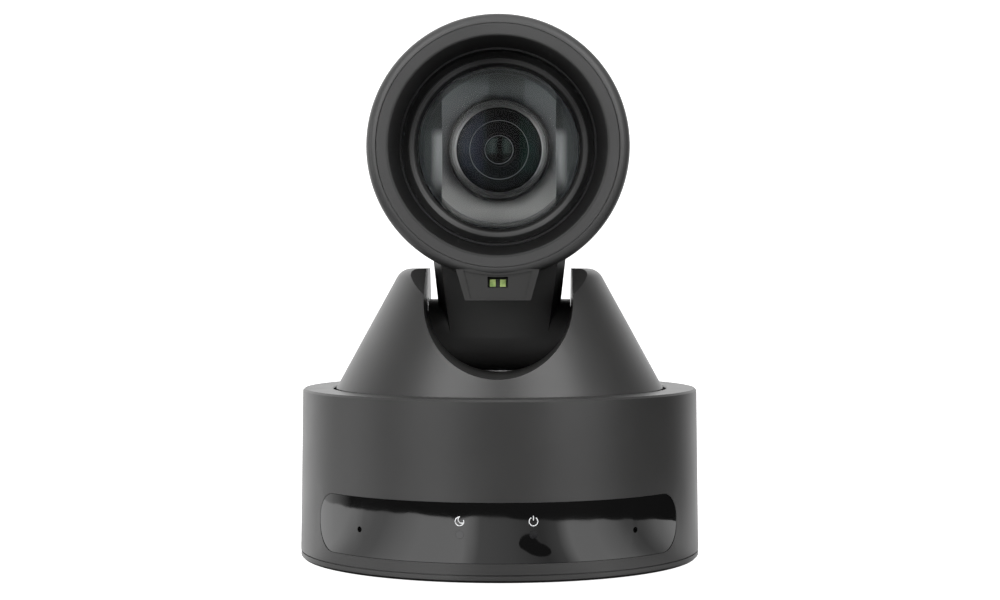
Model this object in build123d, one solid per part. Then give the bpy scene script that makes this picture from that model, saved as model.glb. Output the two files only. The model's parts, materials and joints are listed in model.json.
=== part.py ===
from build123d import *
import math
import os

# A pan-tilt-zoom camera: a drum base, a conical turret that pans on it, and a head that tilts in the
# turret's slot on a neck. Millimetres, +Z up, origin at the centre of the feet's underside.
# The camera looks along -Y.

# --- driving dimensions: base -------------------------------------------------------------------
DRUM_R_FOOT = 72.0
DRUM_R_TOP = 71.2
DRUM_H = 61.0
DRUM_WALL = 2.8
PLATE_Z0, PLATE_Z1 = 0.5, 2.8
WELL_R = 60.3
RIM_T = 2.4
WINDOW_Z0, WINDOW_Z1 = 7.0, 27.0
WINDOW_HALF_ANGLE = 58.7
WINDOW_R0, WINDOW_R1 = 70.5, 71.75
LIGHT_ANGLE, LIGHT_Z, LIGHT_R = 9.8, 16.5, 1.35
MIC_ANGLE, MIC_Z, MIC_HOLE_R = 40.5, 16.1, 1.0
LEDGE_Z = 38.0
CHASSIS_Z0, CHASSIS_Z1 = 42.0, 44.0
PANEL_Y0, PANEL_Y1 = 55.2, 57.0
PORT_BACK_Y = 46.0
BOARD_T = 1.6
FASTENER_ANGLES = (35, 145, 215, 325)
QUARTERS = (0, 90, 180, 270)
SCREW_CIRCLE_R, BRACKET_CIRCLE_R = 66.3, 30
FOOT_CIRCLE_R, FOOT_R, FOOT_T = 50, 8.0, 1.5

# --- driving dimensions: rear sockets, as (x, z) of the middle, then width and height or radius ------
NETWORK, HDMI, USB = (-25, 15.7, 16.4, 13.2), (-4, 14.5, 15.6, 6.6), (14, 15.5, 9.0, 8.6)
POWER, COAX, AUDIO = (28.5, 16.5, 5.2), (-25, 28.8, 6.0), (27, 28.6, 3.9)
SERIAL = ((-4, 28.6, 4.9), (10, 28.6, 4.9))
SOCKET_GAP = 0.1

# --- driving dimensions: turret -----------------------------------------------------------------
SKIRT_Z = 54.0
CONE_R_RIM = 59.1
CONE_R_TOP = 35.5
TURRET_TOP = 104.1
SHELL_T = 2.4
SLOT_R = 26.0
SLOT_CENTRE_Z = 92.8
TILT_Z = 80.0
HUB_R, HUB_HALF = 13.0, 25.5
POCKET_R, POCKET_HALF = 13.5, 26.2
FRONT_RELIEF, FRONT_ANGLE = 28.5, 30.0
REAR_RELIEF, REAR_ANGLE = 27.0, 60.0
REAR_LEDGE_Z = 62.5
CHASE_HALF, CHASE_RELIEF = 24.5, 21.9
ARM_ROUND = 6.0
PLATFORM_Z1, PLATFORM_CIRCLE_R = 56.2, 16.5

# --- driving dimensions: pan and tilt drives ------------------------------------------------------
BELT_GAP, BELT_T = 0.35, 1.1
PAN_PULLEY_R, PAN_MOTOR_PULLEY_R, PAN_MOTOR_X = 26.0, 6.0, 42.0
PAN_DRIVE_Z0, PAN_DRIVE_Z1 = 49.6, 53.6
TILT_PULLEY_R, TILT_MOTOR_PULLEY_R = 12.0, 4.0
TILT_MOTOR_Y, TILT_MOTOR_Z = 18.0, 64.2
TILT_DRIVE_X0, TILT_DRIVE_X1 = 33.0, 36.5
SHAFT_R = 3.5
RUNNING = 0.03

# --- driving dimensions: head ---------------------------------------------------------------------
LENS_Z = 146.3
RING_Y, RING_R = -46.0, 45.3
GROOVE_R, LIP_R = 41.7, 37.5
BARREL_R, BARREL_T = 43.9, 2.4
BARREL_Y0, BARREL_Y1 = -30.0, 20.0
DOME_L = 26.0
GLASS_R = 28.4
ROUND_Y = -40.5
COVER_Z0, COVER_TOP, COVER_POCKET = 93.3, 104.0, 0.35
POCKET_Z0, POCKET_TOP_R = 93.9, 44.3
ROD_X, ROD_R = 24.0, 1.2

os.makedirs("parts", exist_ok=True)


# --- helpers ------------------------------------------------------------------------------------
def save(name, *solids):
    shape = solids[0] if len(solids) == 1 else Compound(children=list(solids))
    export_step(shape, f"parts/{name}.step")


def block(x0, x1, y0, y1, z0, z1):
    centre = Pos((x0 + x1) / 2, (y0 + y1) / 2, (z0 + z1) / 2)
    return centre * Box(x1 - x0, y1 - y0, z1 - z0)


def rod_z(r, z0, z1, x=0, y=0):
    return Pos(x, y, (z0 + z1) / 2) * Cylinder(r, z1 - z0)


def rod_x(r, x0, x1, y=0, z=TILT_Z):
    return Pos((x0 + x1) / 2, y, z) * Rot(0, 90, 0) * Cylinder(r, x1 - x0)


def rod_y(r, y0, y1, x=0, z=LENS_Z):
    return Pos(x, (y0 + y1) / 2, z) * Rot(90, 0, 0) * Cylinder(r, y1 - y0)


def tube_z(r_out, r_in, z0, z1):
    return rod_z(r_out, z0, z1) - rod_z(r_in, z0 - 1, z1 + 1)


def tube_y(r_out, r_in, y0, y1):
    return rod_y(r_out, y0, y1) - rod_y(r_in, y0 - 1, y1 + 1)


def radial(r, length0, length1, angle, z):
    """A pin pointing out from the pan axis, at an angle measured from the front."""
    pin = Pos(0, -(length0 + length1) / 2, z) * Rot(90, 0, 0) * Cylinder(r, length1 - length0)
    return Rot(0, 0, angle) * pin


def spun_z(*points):
    """Revolve a closed (radius, z) outline about the pan axis."""
    return revolve(Plane.XZ * make_face(Polyline(*points, close=True)), Axis.Z)


def spun_lens(*points):
    """Revolve a closed (radius, y) outline about the lens axis."""
    outline = Plane.XY * make_face(Polyline(*points, close=True))
    return Pos(0, 0, LENS_Z) * revolve(outline, Axis.Y)


def side_plate(half_width, *points):
    """Extrude a closed (y, z above the tilt axis) outline to both sides of the middle plane."""
    outline = Plane.YZ * make_face(Polyline(*points, close=True))
    return Pos(0, 0, TILT_Z) * extrude(outline, half_width, both=True)


def belt_band(r_big, r_small, centre_distance, thickness):
    """A flat band round two round pulleys, in the XY plane, big pulley at the origin."""
    def loop(extra):
        circles = Circle(r_big + extra) + Pos(centre_distance, 0) * Circle(r_small + extra)
        return make_hull(circles.edges())
    return extrude(loop(BELT_GAP + BELT_T) - loop(BELT_GAP), thickness)


def toothed_wheel(r, bore, thickness, teeth, groove=0.55):
    wheel = Cylinder(r, thickness, align=(Align.CENTER, Align.CENTER, Align.MIN))
    cutter = Cylinder(groove, thickness * 3)
    for index in range(teeth):
        wheel -= Rot(0, 0, 360 * index / teeth) * Pos(r, 0, 0) * cutter
    return wheel - Cylinder(bore, thickness * 3) if bore else wheel


def around(radius, angles, make):
    return [Rot(0, 0, angle) * Pos(radius, 0, 0) * make() for angle in angles]


# --- base: housing, plate, feet, insert, screws -----------------------------------------------------
def window_outline(grow):
    """The window strip seen from the front: a long bar with rounded ends."""
    half = DRUM_R_FOOT * math.sin(math.radians(WINDOW_HALF_ANGLE)) + grow
    height = WINDOW_Z1 - WINDOW_Z0 + 2 * grow
    corner_x, corner_z = 5.0, 8.6
    outline = Rectangle(2 * (half - corner_x), height) + Rectangle(2 * half, height - 2 * corner_z)
    for sx in (-1, 1):
        for sz in (-1, 1):
            place = Pos(sx * (half - corner_x), sz * (height / 2 - corner_z))
            outline += place * Ellipse(corner_x, corner_z)
    middle = Pos(0, 0, (WINDOW_Z0 + WINDOW_Z1) / 2)
    return extrude(middle * (Plane.XZ * outline), 90)


def base_parts():
    inner_r = DRUM_R_TOP - DRUM_WALL + 0.8
    seam_z = PLATE_Z1 + 0.45
    housing = spun_z(
        (inner_r, PLATE_Z1), (DRUM_R_FOOT - 0.6, PLATE_Z1), (DRUM_R_FOOT - 0.6, seam_z),
        (DRUM_R_FOOT, seam_z), (DRUM_R_TOP, DRUM_H - 0.7), (DRUM_R_TOP - 0.7, DRUM_H),
        (WELL_R + 0.4, DRUM_H), (WELL_R, DRUM_H - 0.4), (WELL_R, DRUM_H - RIM_T),
        (inner_r, DRUM_H - RIM_T), (inner_r, CHASSIS_Z0), (inner_r - 3.2, CHASSIS_Z0),
        (inner_r - 3.2, LEDGE_Z), (inner_r, LEDGE_Z - 3))
    for post in around(SCREW_CIRCLE_R, FASTENER_ANGLES, lambda: rod_z(3.6, PLATE_Z1, 14.0)):
        housing += post
    shroud = block(-39, 39, PANEL_Y1, 75, 6, 38) - block(-36, 36, 50, 80, 9, 35)
    housing += shroud & rod_z(DRUM_R_TOP - 0.2, 0, 60)
    housing -= block(-36, 36, PANEL_Y1 - 2, 80, 9, 35)
    housing -= window_outline(0.12) - rod_z(WINDOW_R0, 0, 60)
    for side in (-1, 1):
        housing -= radial(LIGHT_R + 0.05, 60, 80, side * LIGHT_ANGLE, LIGHT_Z)
        housing -= radial(MIC_HOLE_R, 60, 80, side * MIC_ANGLE, MIC_Z)
    for pilot in around(SCREW_CIRCLE_R, FASTENER_ANGLES, lambda: rod_z(1.3, 0, 12.0)):
        housing -= pilot
    save("base_housing", housing)

    plate = spun_z(
        (0, PLATE_Z0), (DRUM_R_FOOT - 0.9, PLATE_Z0), (DRUM_R_FOOT - 0.1, PLATE_Z0 + 0.8),
        (DRUM_R_FOOT - 0.1, PLATE_Z1), (0, PLATE_Z1))
    plate -= rod_z(7.0, 0, 5)
    for hole in around(SCREW_CIRCLE_R, FASTENER_ANGLES, lambda: rod_z(1.6, 0, 5) + rod_z(3.0, 0, 1.9)):
        plate -= hole
    for hole in around(FOOT_CIRCLE_R, QUARTERS, lambda: rod_z(FOOT_R + 0.2, 0, FOOT_T)):
        plate -= hole
    for hole in around(BRACKET_CIRCLE_R, (45, 135, 225, 315), lambda: rod_z(1.65, 0, 5)):
        plate -= hole
    save("base_plate", plate)

    save("rubber_feet", *around(FOOT_CIRCLE_R, QUARTERS, lambda: rod_z(FOOT_R, 0, FOOT_T)))
    insert = rod_z(7.0, PLATE_Z0, PLATE_Z1) + rod_z(9.0, PLATE_Z1, 7.6) - rod_z(2.6, 0, 6.6)
    save("tripod_insert", insert)
    save("base_screws", *around(
        SCREW_CIRCLE_R, FASTENER_ANGLES, lambda: rod_z(1.25, 1.9, 11.0) + rod_z(2.8, 0.7, 1.9)))


def front_parts():
    band = rod_z(WINDOW_R1, 0, 60) - rod_z(WINDOW_R0, -1, 61)
    window = window_outline(0) & band
    lights = []
    for side in (-1, 1):
        window -= radial(LIGHT_R + 0.05, 60, 80, side * LIGHT_ANGLE, LIGHT_Z)
        window -= radial(MIC_HOLE_R, 60, 80, side * MIC_ANGLE, MIC_Z)
        lights.append(radial(LIGHT_R, 62.2, WINDOW_R1, side * LIGHT_ANGLE, LIGHT_Z))
    save("front_window", window)
    save("standby_light", lights[0])
    save("power_light", lights[1])
    save("indicator_board", block(-18, 18, -61.0, -59.6, 9, 24))
    save("microphones", *[
        radial(2.4, 66.4, 69.1, side * MIC_ANGLE, MIC_Z) for side in (-1, 1)])


# --- base: circuit boards and rear sockets ----------------------------------------------------------
def board_parts():
    board_z = 8.4
    board = block(-50, 50, -46, 43, board_z, board_z + BOARD_T) & rod_z(60, 0, 60)
    board -= rod_z(9.6, 0, 20)
    for x, y, w, d, h in ((-24, -18, 18, 18, 2.4), (22, -22, 12, 12, 1.4), (-26, 20, 14, 10, 1.2),
                          (20, 24, 10, 16, 3.0), (0, -34, 22, 5, 4.0)):
        board += block(x - w / 2, x + w / 2, y - d / 2, y + d / 2, board_z + BOARD_T, board_z + BOARD_T + h)
    save("main_board", board)
    save("board_standoffs", *[
        rod_z(2.6, PLATE_Z1, board_z, x, y) for x in (-42, 42) for y in (-30, 30)])
    save("rear_board", block(-37, 37, PORT_BACK_Y - BOARD_T, PORT_BACK_Y, 6, 38))


def socket_block(x, z, width, height, mouth_w, mouth_h, depth):
    """A square socket through the rear panel, with an open mouth facing back."""
    front = PANEL_Y1 + 0.6
    body = block(x - width / 2, x + width / 2, PORT_BACK_Y, front, z - height / 2, z + height / 2)
    mouth = block(
        x - mouth_w / 2, x + mouth_w / 2, front - depth, front + 1, z - mouth_h / 2, z + mouth_h / 2)
    return body - mouth


def socket_round(x, z, r, front, bore, depth):
    body = rod_y(r, PORT_BACK_Y, front, x, z)
    return body - rod_y(bore, front - depth, front + 1, x, z)


def port_parts():
    flush = PANEL_Y1 + 0.6
    network = socket_block(*NETWORK, 11.8, 9.0, 10.0)
    hdmi = socket_block(*HDMI, 14.0, 4.6, 9.0)
    usb = socket_block(*USB, 7.2, 6.6, 9.0)
    power_x, power_z, _ = POWER
    power = socket_round(*POWER, flush, 3.1, 9.0) + rod_y(0.9, 47, flush - 1, power_x, power_z)
    coax_x, coax_z, coax_r = COAX
    coax = rod_y(coax_r, PORT_BACK_Y, PANEL_Y1 + 2, coax_x, coax_z) + rod_y(4.8, 50, 67.5, coax_x, coax_z)
    coax -= rod_y(3.9, 60, 69, coax_x, coax_z)
    coax += rod_y(1.1, 59, 66, coax_x, coax_z)
    pins = rod_z(0.9, coax_z - 5.8, coax_z + 5.8, coax_x, 65.5)
    coax += pins - rod_y(4.5, 60, 70, coax_x, coax_z)
    serial = [socket_round(*place, flush, 3.9, 7.0) for place in SERIAL]
    audio = socket_round(*AUDIO, flush, 1.8, 9.0)

    panel = block(-37.5, 37.5, PANEL_Y0, PANEL_Y1, 6.2, 35.8)
    for x, z, width, height in (NETWORK, HDMI, USB):
        half, rise = width / 2 + SOCKET_GAP, height / 2 + SOCKET_GAP
        panel -= block(x - half, x + half, 50, 60, z - rise, z + rise)
    for x, z, r in (POWER, COAX, AUDIO, *SERIAL):
        panel -= rod_y(r + SOCKET_GAP, 50, 60, x, z)
    save("rear_panel", panel)
    save("network_socket", network)
    save("hdmi_socket", hdmi)
    save("usb_socket", usb)
    save("power_inlet", power)
    save("coax_socket", coax)
    save("serial_sockets", *serial)
    save("audio_socket", audio)


# --- pan drive ----------------------------------------------------------------------------------------
def pan_parts():
    chassis = rod_z(68.6, CHASSIS_Z0, CHASSIS_Z1) + rod_z(23.0, CHASSIS_Z1, 49.0)
    chassis -= rod_z(20.0, CHASSIS_Z0 - 1, 50)
    chassis -= rod_z(7.0, 40, 46, PAN_MOTOR_X, 0)
    for hole in around(52, (60, 120, 240, 300), lambda: rod_z(9.0, 40, 46)):
        chassis -= hole
    save("pan_chassis", chassis)

    pitch_r, ball_r, bearing_z = 15.0, 1.75, 45.5
    race = Pos(0, 0, bearing_z) * Torus(pitch_r, ball_r + 0.1)
    save("pan_bearing_outer", tube_z(20.0, 16.2, CHASSIS_Z0, 49.0) - race)
    save("pan_bearing_inner", tube_z(13.8, 10.0, CHASSIS_Z0, 49.0) - race)
    save("pan_bearing_balls", *around(
        pitch_r, range(0, 360, 30), lambda: Pos(0, 0, bearing_z) * Sphere(ball_r)))
    save("pan_shaft", tube_z(10.0, 7.0, 38.0, SKIRT_Z) + tube_z(12.6, 9.0, 39.0, 41.8))

    motor = block(PAN_MOTOR_X - 17.5, PAN_MOTOR_X + 17.5, -17.5, 17.5, 18, CHASSIS_Z0)
    motor = chamfer(motor.edges().filter_by(Axis.Z), 4.0)
    motor -= rod_z(2.6, 36, 46, PAN_MOTOR_X, 0)
    save("pan_motor", motor)
    thickness = PAN_DRIVE_Z1 - PAN_DRIVE_Z0
    big = toothed_wheel(PAN_PULLEY_R, 10.0, thickness, 78)
    save("pan_pulley", Pos(0, 0, PAN_DRIVE_Z0) * big)
    small = toothed_wheel(PAN_MOTOR_PULLEY_R, 0, thickness, 18)
    rotor = Pos(PAN_MOTOR_X, 0, PAN_DRIVE_Z0) * small + rod_z(2.5, 37, PAN_DRIVE_Z0 + 1, PAN_MOTOR_X, 0)
    save("pan_motor_pulley", rotor)
    belt = belt_band(PAN_PULLEY_R, PAN_MOTOR_PULLEY_R, PAN_MOTOR_X, thickness - 0.8)
    save("pan_belt", Pos(0, 0, PAN_DRIVE_Z0 + 0.4) * belt)


# --- turret -------------------------------------------------------------------------------------------
def above_slot(radius, half, z):
    """The slot's cross-section from front to back: a half round with straight sides above it."""
    trough = rod_y(radius, -90, 90, 0, z)
    return trough + block(-half, half, -90, 90, z, z + 60)


def neck_path(half, reach):
    """The space that the neck sweeps as it leans back, below the tilt axis and behind it."""
    lean = math.radians(REAR_ANGLE)
    foot = (reach * math.cos(lean), -reach * math.sin(lean))
    length = 60
    back = (foot[0] + length * math.sin(lean), foot[1] + length * math.cos(lean))
    return side_plate(half, (0, -reach), foot, back, (back[0], 60), (0, 60))


def relief(front, rear):
    """The room above the arms for the barrel, at its lowest and its highest tilt."""
    slab = Box(200, 200, 100, align=(Align.CENTER, Align.CENTER, Align.MIN))
    ahead = Pos(0, 0, TILT_Z) * Rot(FRONT_ANGLE, 0, 0) * Pos(0, 0, front) * slab
    behind = Pos(0, 0, TILT_Z) * Rot(-REAR_ANGLE, 0, 0) * Pos(0, 0, rear) * slab
    return ahead, behind


def barrel_chase(grow):
    """The room in the middle, behind the slot, for the underside of the barrel's back."""
    behind = relief(FRONT_RELIEF, CHASE_RELIEF - grow)[1]
    half = CHASE_HALF + grow
    return behind & block(-half, half, 0, 120, REAR_LEDGE_Z - grow, 200)


def turret_parts():
    slope = (CONE_R_RIM - CONE_R_TOP) / (TURRET_TOP - DRUM_H)
    outer = spun_z(
        (0, SKIRT_Z), (CONE_R_RIM, SKIRT_Z), (CONE_R_RIM, DRUM_H), (CONE_R_TOP, TURRET_TOP), (0, TURRET_TOP))
    outer = fillet(outer.edges().group_by(Axis.Z)[-1], ARM_ROUND)
    wall = SHELL_T + 0.3
    void = spun_z(
        (0, SKIRT_Z - 1), (CONE_R_RIM - SHELL_T, SKIRT_Z - 1), (CONE_R_RIM - SHELL_T, DRUM_H - 0.6),
        (CONE_R_TOP - wall + SHELL_T * slope, TURRET_TOP - SHELL_T), (0, TURRET_TOP - SHELL_T))
    ahead, behind = relief(FRONT_RELIEF - SHELL_T, REAR_RELIEF - SHELL_T)
    void -= ahead
    void -= behind & block(-90, 90, 0, 120, REAR_LEDGE_Z - SHELL_T, 200)
    void -= above_slot(SLOT_R + SHELL_T, SLOT_R + SHELL_T, SLOT_CENTRE_Z)
    void -= rod_x(POCKET_R + SHELL_T, -POCKET_HALF - SHELL_T, POCKET_HALF + SHELL_T)
    void -= neck_path(CHASE_HALF + SHELL_T, POCKET_R + SHELL_T)
    void -= barrel_chase(SHELL_T)
    ahead, behind = relief(FRONT_RELIEF, REAR_RELIEF)
    shell = outer - void
    shell -= ahead
    shell -= behind & block(-90, 90, 0, 120, REAR_LEDGE_Z, 200)
    shell -= above_slot(SLOT_R, SLOT_R, SLOT_CENTRE_Z)
    shell -= rod_x(POCKET_R, -POCKET_HALF, POCKET_HALF)
    shell -= neck_path(CHASE_HALF, POCKET_R)
    shell -= barrel_chase(0)
    shell -= rod_x(SHAFT_R + 0.6, -40, 40)
    save("turret_shell", shell)

    platform = rod_z(CONE_R_RIM - SHELL_T - 0.1, SKIRT_Z, PLATFORM_Z1) - rod_z(7.0, 50, 60)
    for hole in around(PLATFORM_CIRCLE_R, QUARTERS, lambda: rod_z(1.6, 50, 60)):
        platform -= hole
    save("pan_platform", platform)
    save("platform_screws", *around(
        PLATFORM_CIRCLE_R, QUARTERS,
        lambda: rod_z(1.5, PAN_DRIVE_Z1, PLATFORM_Z1) + rod_z(2.8, PLATFORM_Z1, 57.8)))

    supports = []
    bearings = []
    for side in (-1, 1):
        x0, x1 = sorted((side * 29.2, side * 31.6))
        foot0, foot1 = sorted((side * 29.2, side * 38.0))
        bracket = block(x0, x1, -9, 9, PLATFORM_Z1, 90) + block(foot0, foot1, -9, 9, PLATFORM_Z1, 58.4)
        supports.append(bracket - rod_x(6.5, -50, 50))
        bearing0, bearing1 = sorted((side * 28.8, side * 32.4))
        bearings.append(rod_x(6.5, x0, x1) + rod_x(5.0, bearing0, bearing1)
                        - rod_x(SHAFT_R + RUNNING, -50, 50))
    save("tilt_supports", *supports)
    save("tilt_bearings", *bearings)

    motor = rod_x(6.6, 23.6, 32.2, TILT_MOTOR_Y, TILT_MOTOR_Z)
    motor += block(23.6, 32.2, TILT_MOTOR_Y - 6.0, TILT_MOTOR_Y + 6.0, PLATFORM_Z1, 60.0)
    motor -= rod_x(1.3, 28, 40, TILT_MOTOR_Y, TILT_MOTOR_Z)
    save("tilt_motor", motor)


def drive_frame():
    """Place the XY belt drawing in the tilt drive's plane, with +X pointing at the motor."""
    dy, dz = TILT_MOTOR_Y, TILT_MOTOR_Z - TILT_Z
    span = math.hypot(dy, dz)
    plane = Plane(origin=(TILT_DRIVE_X0, 0, TILT_Z), x_dir=(0, dy, dz), z_dir=(1, 0, 0))
    return plane, span


def tilt_drive_parts():
    plane, span = drive_frame()
    thickness = TILT_DRIVE_X1 - TILT_DRIVE_X0
    save("tilt_pulley", plane * toothed_wheel(TILT_PULLEY_R, SHAFT_R, thickness, 36))
    small = plane * Pos(span, 0, 0) * toothed_wheel(TILT_MOTOR_PULLEY_R, 0, thickness, 12)
    save("tilt_motor_pulley", small + rod_x(1.2, 28.5, TILT_DRIVE_X0 + 1, TILT_MOTOR_Y, TILT_MOTOR_Z))
    belt = belt_band(TILT_PULLEY_R, TILT_MOTOR_PULLEY_R, span, thickness - 0.7)
    save("tilt_belt", plane * Pos(0, 0, 0.35) * belt)
    save("tilt_shaft", rod_x(SHAFT_R, -34.5, 39.0))


# --- head: neck, barrel, covers -------------------------------------------------------------------------
def neck_section(shrink, height):
    """The neck's flat-fronted section at a height above the tilt axis, with bevelled corners."""
    face = 17.3 + 0.136 * height - shrink
    side = 20.7 + 0.1125 * height - shrink
    depth = HUB_R - shrink
    bevel = 7.0 - shrink / 2
    outline = Polyline((-face, -depth), (face, -depth), (side, -bevel), (side, bevel),
                       (face, depth), (-face, depth), (-side, bevel), (-side, -bevel), close=True)
    return Pos(0, 0, TILT_Z + height) * make_face(outline)


def neck_solid(shrink):
    body = loft([neck_section(shrink, 0), neck_section(shrink, 36)])
    return body + rod_x(HUB_R - shrink, -HUB_HALF + shrink, HUB_HALF - shrink)


def neck_parts():
    neck = neck_solid(0) - neck_solid(2.2)
    neck -= rod_x(SHAFT_R, -40, 40)
    neck -= rod_y(BARREL_R, -60, 60)
    save("neck_front", neck & block(-40, 40, -40, 0, 40, 140))
    save("neck_rear", neck & block(-40, 40, 0, 40, 40, 140))

    post = block(-8, 8, -7, 7, TILT_Z - 7, 120)
    cradle = block(-14, 14, -18, 18, 104.8, 120)
    frame = (post + cradle) - rod_y(31.5, -60, 60) - rod_x(SHAFT_R, -40, 40)
    frame -= rod_y(60, -60, 60) - rod_y(BARREL_R - BARREL_T, -61, 61) - post
    save("head_frame", frame)


def dome(radius, length, y0, y1):
    """The rounded back of the head, cut off flat at its end."""
    profile = Pos(0, y0, 0) * Ellipse(radius, length) & block(0, 60, y0, y1, -1, 1)
    return Pos(0, 0, LENS_Z) * revolve(profile, Axis.Y)


def cover_outline(foot, top, low):
    """The sensor cover seen from the front, from half its width at the foot and at the top."""
    outline = Polyline((-foot, low), (foot, low), (top, COVER_TOP), (-top, COVER_TOP), close=True)
    return extrude(Plane.XZ * make_face(outline), 60)


def ring_rounding():
    """The corner that is cut off the front of the hood ring to round it."""
    inner_r = GROOVE_R + 0.15
    corner = Pos(inner_r + 4, ROUND_Y - 5) * Rectangle(8, 10)
    corner -= Pos(inner_r, ROUND_Y) * Ellipse(RING_R - inner_r, ROUND_Y - RING_Y - 0.1)
    return Pos(0, 0, LENS_Z) * revolve(corner, Axis.Y)


def head_parts():
    barrel = tube_y(BARREL_R, BARREL_R - BARREL_T, BARREL_Y0, BARREL_Y1)
    barrel -= block(-8.2, 8.2, -7.2, 7.2, 60, 120)
    save("barrel_shell", barrel)

    end_y = BARREL_Y1 + DOME_L - 1.6
    inner_end = end_y - BARREL_T
    cover = dome(BARREL_R, DOME_L, BARREL_Y1, end_y)
    cover -= dome(BARREL_R - BARREL_T, DOME_L - BARREL_T, BARREL_Y1, inner_end)
    seats = [(sx * 22, sz * 22) for sx in (-1, 1) for sz in (-1, 1)]
    for x, dz in seats:
        cover -= rod_y(2.6, 36.6, 60, x, LENS_Z + dz)
    for row in range(-3, 4):
        slot = block(-11, 11, 38, 60, LENS_Z + row * 4.2 - 0.8, LENS_Z + row * 4.2 + 0.8)
        cover -= slot
    save("rear_cover", cover)

    front_y = RING_Y + 0.1
    seat_r, bore_r = BARREL_R - 0.2, 34.3
    hood = spun_lens(
        (LIP_R, RING_Y + 0.3), (LIP_R + 0.5, RING_Y), (GROOVE_R - 0.25, RING_Y),
        (GROOVE_R - 0.25, RING_Y + 0.6), (GROOVE_R + 0.15, RING_Y + 0.6), (GROOVE_R + 0.15, front_y),
        (RING_R, front_y), (RING_R, BARREL_Y0 - 0.6),
        (seat_r, BARREL_Y0 - 0.6), (seat_r, BARREL_Y0), (bore_r, BARREL_Y0), (bore_r, RING_Y + 10))
    save("hood_ring", hood - ring_rounding())

    # The cover's face starts level with the ring's rounded edge, and leans back towards its foot.
    foot_z, top_z = COVER_Z0 - TILT_Z, COVER_TOP - TILT_Z
    face = ((RING_Y + 0.5, top_z), (-42.2, foot_z))
    chin = side_plate(16, *face, (-37.5, foot_z), (-31, top_z))
    chin &= cover_outline(11.3, 14.3, COVER_Z0)
    ring_space = spun_lens(
        (0, RING_Y - 5), (GROOVE_R + 0.15, RING_Y - 5), (GROOVE_R + 0.15, front_y), (RING_R, front_y),
        (RING_R, -20), (0, -20))
    chin -= ring_space - ring_rounding()
    pocket = side_plate(16, *[(y + COVER_POCKET, z) for y, z in face], (-60, foot_z), (-60, top_z))
    chin -= pocket & cover_outline(9.4, 11.8, POCKET_Z0) - rod_y(POCKET_TOP_R, -60, 0)
    chin -= block(-3.5, 3.5, -50, -37, 97.7, 101.4)
    save("sensor_cover", chin)
    save("sensor_windows", *[
        block(x - 1.0, x + 1.0, -42.3, -41.6, 98.0, 100.5) for x in (-1.75, 1.75)])
    save("sensor_board", block(-3.4, 3.4, -41.6, -37.2, 97.8, 100.8))


# --- head: lens -------------------------------------------------------------------------------------------
def lens_parts():
    tube = spun_lens(
        (34.2, -35.6), (34.2, -32.0), (33.0, -32.0), (33.0, -20), (31.5, -20), (31.5, 30),
        (GLASS_R + 0.1, 30), (GLASS_R + 0.1, -25.4), (29.6, -26.6), (29.6, -28.4), (31.2, -29.6),
        (31.2, -31.6), (32.8, -33.4), (33.6, -35.6))
    save("lens_barrel", tube)
    save("retaining_ring", spun_lens((33.6, -36.2), (34.2, -36.2), (34.2, -35.6), (33.6, -35.6)))

    crown = Pos(0, 46, 0) * Circle(74)
    glass = revolve(crown & Pos(GLASS_R / 2, -24.3) * Rectangle(GLASS_R, 8), Axis.Y)
    save("front_glass", Pos(0, 0, LENS_Z) * glass)

    funnel = spun_lens((GLASS_R, -12.4), (GLASS_R, -20.2), (26.6, -20.2), (18.2, -14.0), (18.2, -12.4))
    sides = block(-40, 40, -30, -13.6, LENS_Z - 40, LENS_Z + 40)
    sides -= block(-20.2, 20.2, -31, 0, LENS_Z - 41, LENS_Z + 41)
    baffle = funnel - sides
    for x in (-ROD_X, ROD_X):
        baffle -= rod_y(ROD_R, -13.4, 0, x)
    save("lens_baffle", baffle)

    cell = spun_lens(
        (18.1, -12.4), (18.1, -17.6), (17.2, -19.0), (16.0, -19.0), (15.2, -17.2), (15.2, -12.4))
    save("inner_cell", cell)
    save("inner_glass", rod_y(15.1, -16.0, -12.4))
    save("guide_rods", *[rod_y(ROD_R, -13.4, 31.6, x) for x in (-ROD_X, ROD_X)])

    rear = rod_y(31.5, 30, 33) - rod_y(12, 20, 40)
    for x in (-ROD_X, ROD_X):
        rear -= rod_y(ROD_R, 29, 31.6, x)
    save("sensor_frame", rear)
    sensor = block(-7, 7, 31.4, 33, LENS_Z - 5, LENS_Z + 5)
    save("image_board", block(-19, 19, 33, 34.6, LENS_Z - 19, LENS_Z + 19) + sensor)


def carriage(r, y0, y1):
    """A lens group with an ear to each guide rod."""
    body = rod_y(r, y0, y1) + block(-ROD_X - 2.6, ROD_X + 2.6, y0, y1, LENS_Z - 2.6, LENS_Z + 2.6)
    for x in (-ROD_X, ROD_X):
        body -= rod_y(ROD_R + RUNNING, y0 - 1, y1 + 1, x)
    return body


def carriage_parts():
    save("zoom_group", carriage(18.0, -8.0, -2.0))
    save("focus_group", carriage(13.0, 13.0, 17.0))


base_parts()
front_parts()
board_parts()
port_parts()
pan_parts()
turret_parts()
tilt_drive_parts()
neck_parts()
head_parts()
lens_parts()
carriage_parts()
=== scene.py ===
import json
import math
import bmesh
import bpy
from mathutils import Matrix, Vector

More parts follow.
